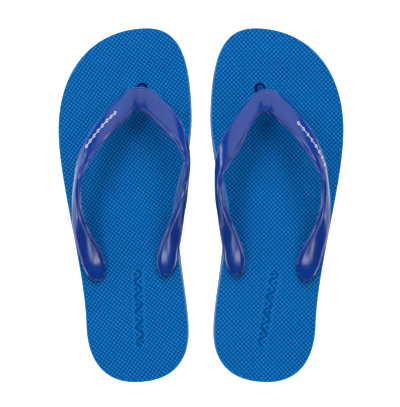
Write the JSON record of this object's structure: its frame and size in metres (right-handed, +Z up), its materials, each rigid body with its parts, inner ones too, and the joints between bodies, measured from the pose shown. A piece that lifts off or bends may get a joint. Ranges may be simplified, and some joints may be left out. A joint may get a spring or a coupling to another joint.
{
  "type": "flip flops",
  "caption": "Pair of men's thong sandals with a flat textured footbed, outsole and a moulded V-shaped strap plugged through the sole.",
  "frame": {"origin": "centre of the pair's footprint, on the floor", "axes": "+X from the left shoe to the right shoe, +Y from heel to toes, +Z up"},
  "size_m": [0.2296, 0.2848, 0.055],
  "materials": {
    "footbed": "matte moulded rubber with a fine raised diamond grain",
    "outsole": "matte rubber",
    "strap": "glossy moulded PVC"
  },
  "bodies": {
    "left_shoe": {"left_footbed": "footbed", "left_outsole": "outsole", "left_strap": "strap"},
    "right_shoe": {"right_footbed": "footbed", "right_outsole": "outsole", "right_strap": "strap"}
  },
  "joints": [
    {"name": "right_lift", "type": "slide", "parent": "left_shoe", "child": "right_shoe", "axis": [0, 0, 1], "range_m": [0, 0.15]}
  ]
}
